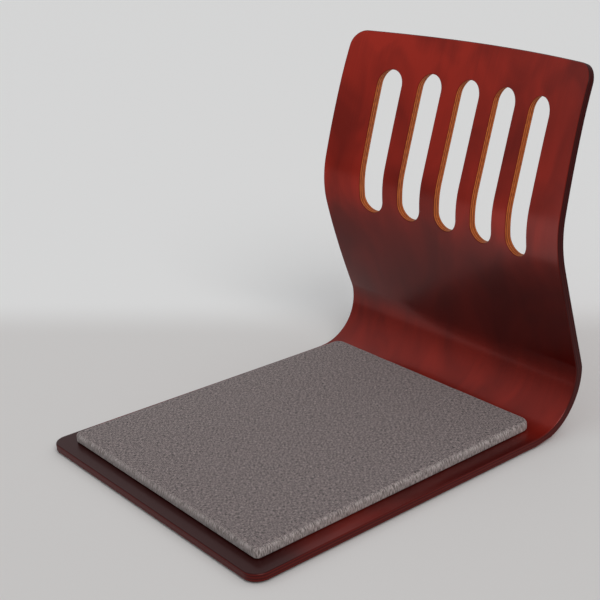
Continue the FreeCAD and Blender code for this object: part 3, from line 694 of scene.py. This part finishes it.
ply_thickness = 1.56 * MM
fibre_width = 10 / 9 * MM
fibre_length = 50 / 3 * MM
countersink_depth = shell_thickness - (countersink_radius - screw_hole_radius)
core_levels = (
    [glue_level(1)]
    + arris_levels(core_tilts, 1)
    + [(countersink_depth, 0, right_angle, 1)]
    + arris_levels(core_tilts, -1)[::-1]
    + [glue_level(-1)]
)
shell_core = layer_piece("shell_plywood_core", core_levels, front_panel, rear_panel)

# Lacquered cut plies: a sine of the depth changes sign from one ply to the next, and fibres
# about 1 mm wide, coarser than real ones so that they show, fleck the slots' walls
cut_plies, ply_shader = new_material("lacquered_cut_plies")
depth_read = add_node(cut_plies, "ShaderNodeAttribute", attribute_name="depth")
ply_count = add_node(
    cut_plies,
    "ShaderNodeMath",
    {1: np.pi / ply_thickness},
    {0: depth_read.outputs["Fac"]},
    operation="MULTIPLY",
)
ply_wave = add_node(cut_plies, "ShaderNodeMath", {}, {0: ply_count.outputs[0]}, operation="SINE")
ply_band = add_node(
    cut_plies,
    "ShaderNodeMapRange",
    {"From Min": -0.35, "From Max": 0.35},
    {"Value": ply_wave.outputs[0]},
)
ply_place = add_node(cut_plies, "ShaderNodeTexCoord")
fibre_at = add_node(
    cut_plies,
    "ShaderNodeMapping",
    {"Scale": (1 / fibre_width, 1 / fibre_width, 1 / fibre_length)},
    {"Vector": ply_place.outputs["Object"]},
)
fibres = add_node(
    cut_plies,
    "ShaderNodeTexNoise",
    {"Scale": 1.0, "Detail": 3.0},
    {"Vector": fibre_at.outputs[0]},
)
fleck_share = add_node(
    cut_plies,
    "ShaderNodeMapRange",
    {"From Min": 0.35, "From Max": 0.6},
    {"Value": fibres.outputs[0]},
)
bare_tone = add_node(
    cut_plies,
    "ShaderNodeMix",
    {"A": linear("#7A3014"), "B": linear("#D07334")},
    {"Factor": ply_band.outputs[0]},
    data_type="RGBA",
)
bare_wood = add_node(
    cut_plies,
    "ShaderNodeMix",
    {"A": linear("#A8562A")},
    {"B": bare_tone.outputs[2], "Factor": fleck_share.outputs[0]},
    data_type="RGBA",
)
# The stained edge darkens from the seat to the back; its lighter tone on the seat is painted
# light, where the lamp falls on the seat's edge
edge_lay = add_node(cut_plies, "ShaderNodeUVMap", uv_map="lay")
edge_place = add_node(cut_plies, "ShaderNodeSeparateXYZ", {}, {0: edge_lay.outputs[0]})
up_back = add_node(
    cut_plies,
    "ShaderNodeMapRange",
    {"From Min": seat_run, "From Max": bend_end},
    {"Value": edge_place.outputs[1]},
)
edge_stain_and_light = add_node(
    cut_plies,
    "ShaderNodeMix",
    {"A": linear("#5A130E"), "B": linear("#300808")},
    {"Factor": up_back.outputs[0]},
    data_type="RGBA",
)
stained_wood = add_node(
    cut_plies,
    "ShaderNodeMix",
    {"A": linear("#400C0A")},
    {"B": edge_stain_and_light.outputs[2], "Factor": ply_band.outputs[0]},
    data_type="RGBA",
)
opening_read = add_node(cut_plies, "ShaderNodeAttribute", attribute_name="opening")
edge_wood = add_node(
    cut_plies,
    "ShaderNodeMix",
    {},
    {
        "A": stained_wood.outputs[2],
        "B": bare_wood.outputs[2],
        "Factor": opening_read.outputs["Fac"],
    },
    data_type="RGBA",
)
cut_plies.node_tree.links.new(edge_wood.outputs[2], ply_shader.inputs["Base Color"])
ply_shader.inputs["Roughness"].default_value = 0.4
ply_shader.inputs["Specular IOR Level"].default_value = 0.15
shell_core.data.materials.append(cut_plies)
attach(shell_core, "root")
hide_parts("plywood_core")

# The seat pad: a foam slab on a thin board in a woven polyester cover, which is pulled over
# the rolled edges and stapled beneath. Only its top and sides show; it is nearly flat, with a
# slight crown.

pad_front = shell_front + 20.8 * MM
pad_rear = shell_front + 393 * MM
pad_front_half = 176.36 * MM
pad_rear_half = 166.46 * MM
pad_front_corner = 5 * MM
pad_rear_corner = 10 * MM
pad_height = 13 * MM
pad_crown = 1.2 * MM
pad_roll = 5 * MM
pad_lower_roll = 2.5 * MM
pad_bulge = 1 * MM
pad_rest = 0.05 * MM
pad_straight = pad_rear - pad_front - pad_front_corner - pad_rear_corner
pad_taper = np.arctan((pad_front_half - pad_rear_half) / pad_straight)

# The right half of the pad's outline as points and outward directions, then its mirror image
pad_step = 5 * MM
front_corner_points = 13
rear_corner_points = 21
front_centre = (pad_front_half - pad_front_corner, pad_front + pad_front_corner)
rear_centre = (pad_rear_half - pad_rear_corner, pad_rear - pad_rear_corner)
front_angles = -np.pi / 2 + (pad_taper + np.pi / 2) * np.linspace(0, 1, front_corner_points)
rear_angles = pad_taper + (np.pi / 2 - pad_taper) * np.linspace(0, 1, rear_corner_points)
front_share = np.linspace(0, 1, round(front_centre[0] / pad_step), endpoint=False)
side_share = np.linspace(0, 1, round((pad_rear - pad_front) / pad_step))[1:-1]
rear_share = np.linspace(0, 1, round(rear_centre[0] / pad_step))[1:]
half_angles = np.concatenate(
    [
        np.full(len(front_share), -np.pi / 2),
        front_angles,
        np.full(len(side_share), pad_taper),
        rear_angles,
        np.full(len(rear_share), np.pi / 2),
    ]
)
half_centres = np.concatenate(
    [
        blend((0, front_centre[1]), front_centre, front_share),
        np.tile(front_centre, (len(front_angles), 1)),
        blend(front_centre, rear_centre, side_share),
        np.tile(rear_centre, (len(rear_angles), 1)),
        blend(rear_centre, (0, rear_centre[1]), rear_share),
    ]
)
half_radii = np.concatenate(
    [
        np.full(len(front_share) + len(front_angles), pad_front_corner),
        pad_front_corner + (pad_rear_corner - pad_front_corner) * side_share,
        np.full(len(rear_angles) + len(rear_share), pad_rear_corner),
    ]
)
half_arrows = np.stack([np.cos(half_angles), np.sin(half_angles)], axis=-1)
half_edge = half_centres + half_arrows * half_radii[:, None]
pad_edge = np.concatenate([half_edge, half_edge[-2:0:-1] * (-1, 1)])
pad_arrows = np.concatenate([half_arrows, half_arrows[-2:0:-1] * (-1, 1)])

# The pad's section from its underside round the edge to its top: offset outwards and height,
# then the length of cloth from its start, counted so that it equals the offset at the top
roll_points = 9
underside_offset = -12 * MM
lower_turn = np.linspace(-np.pi / 2, 0, roll_points)
upper_turn = np.linspace(0, np.pi / 2, roll_points)
side_top = pad_height - pad_crown - pad_roll
section_offset = np.concatenate(
    [
        [underside_offset],
        pad_bulge + pad_lower_roll * (np.cos(lower_turn) - 1),
        [pad_bulge],
        pad_bulge + pad_roll * (np.cos(upper_turn) - 1),
    ]
)
section_height = np.concatenate(
    [
        [0],
        pad_lower_roll * (1 + np.sin(lower_turn)),
        [(pad_lower_roll + side_top) / 2],
        side_top + pad_roll * np.sin(upper_turn),
    ]
)
section_steps = np.hypot(np.diff(section_offset), np.diff(section_height))
section_reach = np.concatenate([[0], np.cumsum(section_steps)])
section_reach += section_offset[-1] - section_reach[-1]
unrolled = section_offset[-1] + (section_reach[-1] - section_reach)
ring_flat = pad_edge[None] + pad_arrows[None] * section_offset[:, None, None]
ring_cloth = pad_edge[None] + pad_arrows[None] * unrolled[:, None, None]

# The rows that close the underside and the top are the section's end rows, drawn to the middle
foot_shares = np.array([0.25, 0.6])
top_rows = 32
top_shares = np.linspace(1, 0, top_rows + 2)[1:-1]
pad_middle = np.array([0, (pad_front + pad_rear) / 2])


def drawn_in(row, shares):
    """Copies of a row of points round the pad, at shares of its distance from the middle."""
    return pad_middle + (row - pad_middle)[None] * shares[:, None, None]


def unevenness(places):
    """The slight swells of stuffed cloth, about a tenth of a millimetre high.

    Two products of crossed waves, 67 to 74 mm and 38 to 45 mm long; the factors are radians to
    the metre.
    """
    across, back = places[..., 0], places[..., 1]
    slow = np.sin(across * 78 + back * 33) * np.sin(back * 91 - across * 21)
    quick = np.sin(across * 151 - back * 67 + 1.3) * np.sin(back * 139 + 0.7)
    return 0.12 * MM * slow + 0.06 * MM * quick


foot_flat = drawn_in(ring_flat[0], foot_shares)
top_flat = drawn_in(ring_flat[-1], top_shares)
top_heights = section_height[-1] + pad_crown * (1 - top_shares ** 2)
row_heights = np.concatenate([np.zeros(len(foot_shares)), section_height, top_heights])
rows, columns = len(row_heights), len(pad_edge)
pad_flat = np.concatenate([foot_flat, ring_flat, top_flat])
pad_rise = np.repeat(row_heights[:, None], columns, axis=1)

# The top swells a little, and the underside's rear edge follows the shell into the bend, less
# and less up to the top of the side
into_bend = np.clip(pad_flat[..., 1] - shell_front - seat_run, 0, None)
bend_rise = bend_radius - np.sqrt(bend_radius ** 2 - into_bend ** 2)
lifted = bend_rise * (1 - pad_rise / side_top)
pad_rise = pad_rise + np.where(pad_rise > side_top, unevenness(pad_flat), lifted)
pad_heights = seat_face + pad_rest + pad_rise
pad_places = np.concatenate([pad_flat, pad_heights[..., None]], axis=-1).reshape(-1, 3)
foot_point = [*pad_middle, seat_face + pad_rest]
top_point = [*pad_middle, seat_face + pad_rest + section_height[-1] + pad_crown]
pad_points = np.concatenate([pad_places, [foot_point, top_point]])

# Quads between the rows, and a fan of triangles at each middle
row_start = np.arange(rows - 1)[:, None] * columns
column = np.arange(columns)
column_next = (column + 1) % columns
here, onward = row_start + column, row_start + column_next
pad_quads = np.stack([here, onward, onward + columns, here + columns], axis=-1)
foot_middle = np.full(columns, rows * columns)
foot_fan = np.stack([foot_middle, column_next, column], axis=-1)
last_row = (rows - 1) * columns
top_fan = np.stack([foot_middle + 1, column + last_row, column_next + last_row], axis=-1)
pad_faces = pad_quads.reshape(-1, 4).tolist() + foot_fan.tolist() + top_fan.tolist()
pad_mesh = bpy.data.meshes.new("seat_pad")
pad_mesh.from_pydata(pad_points.tolist(), [], pad_faces)

# The map cloth lays the cover out flat. The map ribs is the way round the edge from the middle
# of the front, and the length of cloth; rolled is 1 where the cloth stands upright.
cloth_flat = np.concatenate([foot_flat, ring_cloth, top_flat]).reshape(-1, 2)
half_way = np.concatenate([[0], np.cumsum(np.linalg.norm(np.diff(half_edge, axis=0), axis=1))])
way_round = np.concatenate([half_way, half_way[-2:0:-1]])
top_reach = np.full(top_rows, section_reach[-1])
row_reach = np.concatenate([np.zeros(len(foot_shares)), section_reach, top_reach])
row_rolled = np.concatenate(
    [
        np.zeros(len(foot_shares) + 1),
        np.cos(lower_turn),
        [1],
        np.cos(upper_turn),
        np.zeros(top_rows),
    ]
)
pad_ribs = np.stack(np.broadcast_arrays(way_round[None, :], row_reach[:, None]), axis=-1)
pad_rolled = np.repeat(row_rolled, columns)
add_uv_map(pad_mesh, "cloth", np.concatenate([cloth_flat, [pad_middle, pad_middle]]))
add_uv_map(pad_mesh, "ribs", np.concatenate([pad_ribs.reshape(-1, 2), [(0, 0), (0, 0)]]))
add_attribute(pad_mesh, "rolled", np.concatenate([pad_rolled, [0, 0]]))
pad_mesh.shade_smooth()
seat_pad = add_object("seat_pad", pad_mesh)

# Polyester melange cloth in a plain weave: threads about 0.7 mm apart, each of which keeps
# its tone for about five crossings, so the eye sees a soft, dull heather of dark and pale
# flecks. The shift keeps the tones of the warp from repeating those of the weft.
melange, cloth_shader = new_material("woven_melange_polyester")
thread_pitch = 0.7 * MM
tone_stretch = 5
warp_shift = (57, 31, 0)
cloth_lay = add_node(melange, "ShaderNodeUVMap", uv_map="cloth")
threads = add_node(
    melange,
    "ShaderNodeVectorMath",
    {"Scale": 1 / thread_pitch},
    {0: cloth_lay.outputs[0]},
    operation="SCALE",
)
apart = add_node(melange, "ShaderNodeSeparateXYZ", {}, {0: threads.outputs[0]})
thread_tones, thread_waves = [], []
for axis, tone_scale, shift in (
    (0, (1, 1 / tone_stretch, 1), warp_shift),
    (1, (1 / tone_stretch, 1, 1), (0, 0, 0)),
):
    tone_at = add_node(
        melange,
        "ShaderNodeMapping",
        {"Scale": tone_scale, "Location": shift},
        {"Vector": threads.outputs[0]},
    )
    tone = add_node(
        melange,
        "ShaderNodeTexNoise",
        {"Scale": 0.95, "Detail": 1.0},
        {"Vector": tone_at.outputs[0]},
        noise_dimensions="2D",
    )
    angle = add_node(
        melange, "ShaderNodeMath", {1: np.pi}, {0: apart.outputs[axis]}, operation="MULTIPLY"
    )
    wave = add_node(melange, "ShaderNodeMath", {}, {0: angle.outputs[0]}, operation="SINE")
    thread_tones.append(tone.outputs[0])
    thread_waves.append(wave.outputs[0])
# The product of the two sines, warp's and weft's, says which thread passes on top
crossing = add_node(
    melange,
    "ShaderNodeMath",
    {},
    {0: thread_waves[0], 1: thread_waves[1]},
    operation="MULTIPLY",
)
weft_above = add_node(
    melange,
    "ShaderNodeMapRange",
    {"From Min": -0.2, "From Max": 0.2},
    {"Value": crossing.outputs[0]},
)
thread_tone = add_node(
    melange,
    "ShaderNodeMix",
    {},
    {"A": thread_tones[0], "B": thread_tones[1], "Factor": weft_above.outputs[0]},
    data_type="FLOAT",
)
melange_share = add_node(
    melange,
    "ShaderNodeMapRange",
    {"From Min": 0.42, "From Max": 0.58},
    {"Value": thread_tone.outputs[0]},
)
cloth_colour = add_node(
    melange,
    "ShaderNodeMix",
    {"A": linear("#1F1818"), "B": linear("#A09190")},
    {"Factor": melange_share.outputs[0]},
    data_type="RGBA",
)
# Where the cloth is pulled over the edge its threads open into pale ribs, one to each thread;
# their paleness is partly the ribs' own and partly painted light on the rolled edge
rib_length = 20 / 3 * MM
rib_lay = add_node(melange, "ShaderNodeUVMap", uv_map="ribs")
rib_at = add_node(
    melange,
    "ShaderNodeMapping",
    {"Scale": (1 / thread_pitch, 1 / rib_length, 1)},
    {"Vector": rib_lay.outputs[0]},
)
ribs = add_node(
    melange,
    "ShaderNodeTexNoise",
    {"Scale": 1.0, "Detail": 1.0},
    {"Vector": rib_at.outputs[0]},
    noise_dimensions="2D",
)
rib_share = add_node(
    melange,
    "ShaderNodeMapRange",
    {"From Min": 0.4, "From Max": 0.6},
    {"Value": ribs.outputs[0]},
)
rib_and_edge_light_colour = add_node(
    melange,
    "ShaderNodeMix",
    {"A": linear("#6A605D"), "B": linear("#CFC5C2")},
    {"Factor": rib_share.outputs[0]},
    data_type="RGBA",
)
rolled_read = add_node(melange, "ShaderNodeAttribute", attribute_name="rolled")
rolled_share = add_node(
    melange,
    "ShaderNodeMapRange",
    {"From Min": 0.25, "From Max": 0.9, "To Max": 0.6},
    {"Value": rolled_read.outputs["Fac"]},
)
pad_colour = add_node(
    melange,
    "ShaderNodeMix",
    {},
    {
        "A": cloth_colour.outputs[2],
        "B": rib_and_edge_light_colour.outputs[2],
        "Factor": rolled_share.outputs[0],
    },
    data_type="RGBA",
)
melange.node_tree.links.new(pad_colour.outputs[2], cloth_shader.inputs["Base Color"])
cloth_bump = add_node(
    melange,
    "ShaderNodeBump",
    {"Strength": 0.3, "Distance": 0.1 * MM},
    {"Height": crossing.outputs[0]},
)
melange.node_tree.links.new(cloth_bump.outputs[0], cloth_shader.inputs["Normal"])
cloth_shader.inputs["Roughness"].default_value = 0.9
cloth_shader.inputs["Sheen Weight"].default_value = 0.25
cloth_shader.inputs["Sheen Roughness"].default_value = 0.5
seat_pad.data.materials.append(melange)
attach(seat_pad, "root")
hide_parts("pad_cover", "pad_foam")

# What holds the pad on: tee nuts in its board, and countersunk screws that show under the
# seat. All are mild steel with bright zinc plate. The staples of the hem are plain steel wire,
# and the board is thin plywood.


def finish_node(node_name, material):
    """Gives its material to a piece that keeps its CAD mesh."""
    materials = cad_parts[node_name].data.materials
    materials.clear()
    materials.append(material)


# Zinc plate: cool, bright metal whose gloss is slightly cloudy, over about 1 mm
zinc_cloud_size = 10 / 9 * MM
zinc, zinc_shader = new_material("zinc_plated_steel")
zinc_place = add_node(zinc, "ShaderNodeTexCoord")
zinc_cloud = add_node(
    zinc,
    "ShaderNodeTexNoise",
    {"Scale": 1 / zinc_cloud_size, "Detail": 2.0},
    {"Vector": zinc_place.outputs["Object"]},
)
zinc_rough = add_node(
    zinc,
    "ShaderNodeMapRange",
    {"To Min": 0.28, "To Max": 0.42},
    {"Value": zinc_cloud.outputs[0]},
)
zinc.node_tree.links.new(zinc_rough.outputs[0], zinc_shader.inputs["Roughness"])
zinc_shader.inputs["Base Color"].default_value = linear("#B9BCC2")
zinc_shader.inputs["Metallic"].default_value = 1.0
for name in ("pad_nuts", "pad_screws", "pad_staples"):
    finish_node(name, zinc)

# Raw thin plywood: pale, dull wood with streaks about 3 mm wide along the grain
board_streak_width = 10 / 3 * MM
board_wood, board_shader = new_material("raw_thin_plywood")
board_place = add_node(board_wood, "ShaderNodeTexCoord")
board_at = add_node(
    board_wood,
    "ShaderNodeMapping",
    {"Scale": (1 / board_streak_width, 1 / grain_length, 1 / board_streak_width)},
    {"Vector": board_place.outputs["Object"]},
)
board_grain = add_node(
    board_wood,
    "ShaderNodeTexNoise",
    {"Scale": 1.0, "Detail": 3.0},
    {"Vector": board_at.outputs[0]},
)
board_tone = add_node(
    board_wood,
    "ShaderNodeMix",
    {"A": linear("#A47E50"), "B": linear("#C9A878")},
    {"Factor": board_grain.outputs[0]},
    data_type="RGBA",
)
board_wood.node_tree.links.new(board_tone.outputs[2], board_shader.inputs["Base Color"])
board_shader.inputs["Roughness"].default_value = 0.75
finish_node("pad_board", board_wood)

# Four felt discs under the seat keep its lacquer off the floor. Pressed wool felt, dark brown,
# with short stray fibres that make its surface dull and slightly mottled. They are glued on.

felt_fleck_size = 2 / 3 * MM
felt, felt_shader = new_material("pressed_wool_felt")
felt_place = add_node(felt, "ShaderNodeTexCoord")
felt_fibre = add_node(
    felt,
    "ShaderNodeTexNoise",
    {"Scale": 1 / felt_fleck_size, "Detail": 4.0},
    {"Vector": felt_place.outputs["Object"]},
)
felt_tone = add_node(
    felt,
    "ShaderNodeMix",
    {"A": linear("#2B1D17"), "B": linear("#4A362B")},
    {"Factor": felt_fibre.outputs[0]},
    data_type="RGBA",
)
felt.node_tree.links.new(felt_tone.outputs[2], felt_shader.inputs["Base Color"])
felt_bump = add_node(
    felt,
    "ShaderNodeBump",
    {"Strength": 0.6, "Distance": 0.3 * MM},
    {"Height": felt_fibre.outputs[0]},
)
felt.node_tree.links.new(felt_bump.outputs[0], felt_shader.inputs["Normal"])
felt_shader.inputs["Roughness"].default_value = 0.95
finish_node("floor_glides", felt)

# The studio: a flat, pale paper floor, painted lighter towards the back with a soft change of tone
# where the real paper turns up behind the chair and catches more light; the turn itself is not
# built. One very wide lamp stands high on the right, and the pale room fills the rest.

floor_half = 9.0
floor_sink = 0.1 * MM
floor_corners = np.array([(-1, -1, 0), (1, -1, 0), (1, 1, 0), (-1, 1, 0)]) * floor_half
floor_mesh = bpy.data.meshes.new("studio_floor")
floor_mesh.from_pydata((floor_corners - (0, 0, floor_sink)).tolist(), [], [(0, 1, 2, 3)])
studio_floor = add_object("studio_floor", floor_mesh)

camera_place = Vector((1156.9 * MM, shell_front - 597.8 * MM, 707.3 * MM + glide_thickness))
camera_turn, camera_fall, camera_roll = np.radians((54.73, 20.86, -4.87))
ahead = Vector(
    (
        -np.sin(camera_turn) * np.cos(camera_fall),
        np.cos(camera_turn) * np.cos(camera_fall),
        -np.sin(camera_fall),
    )
)
level_right = Vector((np.cos(camera_turn), np.sin(camera_turn), 0))
level_up = level_right.cross(ahead)
camera_right = level_right * np.cos(camera_roll) + level_up * np.sin(camera_roll)
camera_up = level_up * np.cos(camera_roll) - level_right * np.sin(camera_roll)

# Matt studio paper: its tone changes along a line on the floor, which is found from the rays
# through both ends of the picture row where the photographed paper turns up; the lighter tone
# beyond the line is painted light.
picture_half = 300
focal_pixels = 1416
turn_row = 321
before_turn = 60 * MM
after_turn = 80 * MM
row_ends = []
for picture_column in (0, 2 * picture_half):
    ray = (
        ahead * focal_pixels
        + camera_right * (picture_column - picture_half)
        + camera_up * (picture_half - turn_row)
    )
    row_ends.append(camera_place - ray * (camera_place.z / ray.z))
paper_away = (row_ends[1] - row_ends[0]).cross(Vector((0, 0, -1))).normalized()
if paper_away.dot(ahead) < 0:
    paper_away.negate()
turn_place = paper_away.dot(row_ends[0])
paper, paper_shader = new_material("studio_paper")
paper_place = add_node(paper, "ShaderNodeTexCoord")
paper_from_turn = add_node(
    paper,
    "ShaderNodeVectorMath",
    {1: tuple(paper_away)},
    {0: paper_place.outputs["Object"]},
    operation="DOT_PRODUCT",
)
paper_share = add_node(
    paper,
    "ShaderNodeMapRange",
    {"From Min": turn_place - before_turn, "From Max": turn_place + after_turn},
    {"Value": paper_from_turn.outputs["Value"]},
    interpolation_type="SMOOTHSTEP",
)
# Painted light: the same paper, lighter beyond the line where it would turn up and catch more
# light
paper_with_painted_light = add_node(
    paper,
    "ShaderNodeMix",
    {"A": linear("#E3E1E0"), "B": linear("#F7F7F7")},
    {"Factor": paper_share.outputs[0]},
    data_type="RGBA",
)
paper.node_tree.links.new(paper_with_painted_light.outputs[2], paper_shader.inputs["Base Color"])
paper_shader.inputs["Roughness"].default_value = 0.8
paper_shader.inputs["Specular IOR Level"].default_value = 0.2
studio_floor.data.materials.append(paper)

# The room's ceiling is bright, and its walls are dimmer towards the level of the eye
room = bpy.data.worlds.new("room")
bpy.context.scene.world = room
room.use_nodes = True
backdrop = room.node_tree.nodes["Background"]
backdrop.inputs["Color"].default_value = linear("#F4F5F6")
sky_place = add_node(room, "ShaderNodeTexCoord")
sky_rise = add_node(room, "ShaderNodeSeparateXYZ", {}, {0: sky_place.outputs["Generated"]})
sky_light = add_node(
    room,
    "ShaderNodeMapRange",
    {"From Min": 0.05, "From Max": 0.6, "To Min": 0.2, "To Max": 0.57},
    {"Value": sky_rise.outputs[2]},
)
room.node_tree.links.new(sky_light.outputs[0], backdrop.inputs["Strength"])

key = bpy.data.lights.new("key", "SUN")
key.energy = 1.16
key.angle = np.radians(34)
key.color = linear("#FFFEFC")[:3]
key_lamp = add_object("key", key)
key_turn, key_rise = np.radians((-16, 43))
key_from = Vector(
    (
        np.cos(key_turn) * np.cos(key_rise),
        np.sin(key_turn) * np.cos(key_rise),
        np.sin(key_rise),
    )
)
key_lamp.rotation_euler = key_from.to_track_quat("Z", "Y").to_euler()

sensor_width = 36
camera_data = bpy.data.cameras.new("camera")
camera_data.sensor_fit = "HORIZONTAL"
camera_data.sensor_width = sensor_width
camera_data.lens = sensor_width * focal_pixels / (2 * picture_half)
camera = add_object("camera", camera_data)
camera_axes = Matrix((camera_right, camera_up, -ahead)).transposed().to_4x4()
camera.matrix_world = Matrix.Translation(camera_place) @ camera_axes
bpy.context.scene.camera = camera
bpy.context.scene.view_settings.view_transform = "Standard"
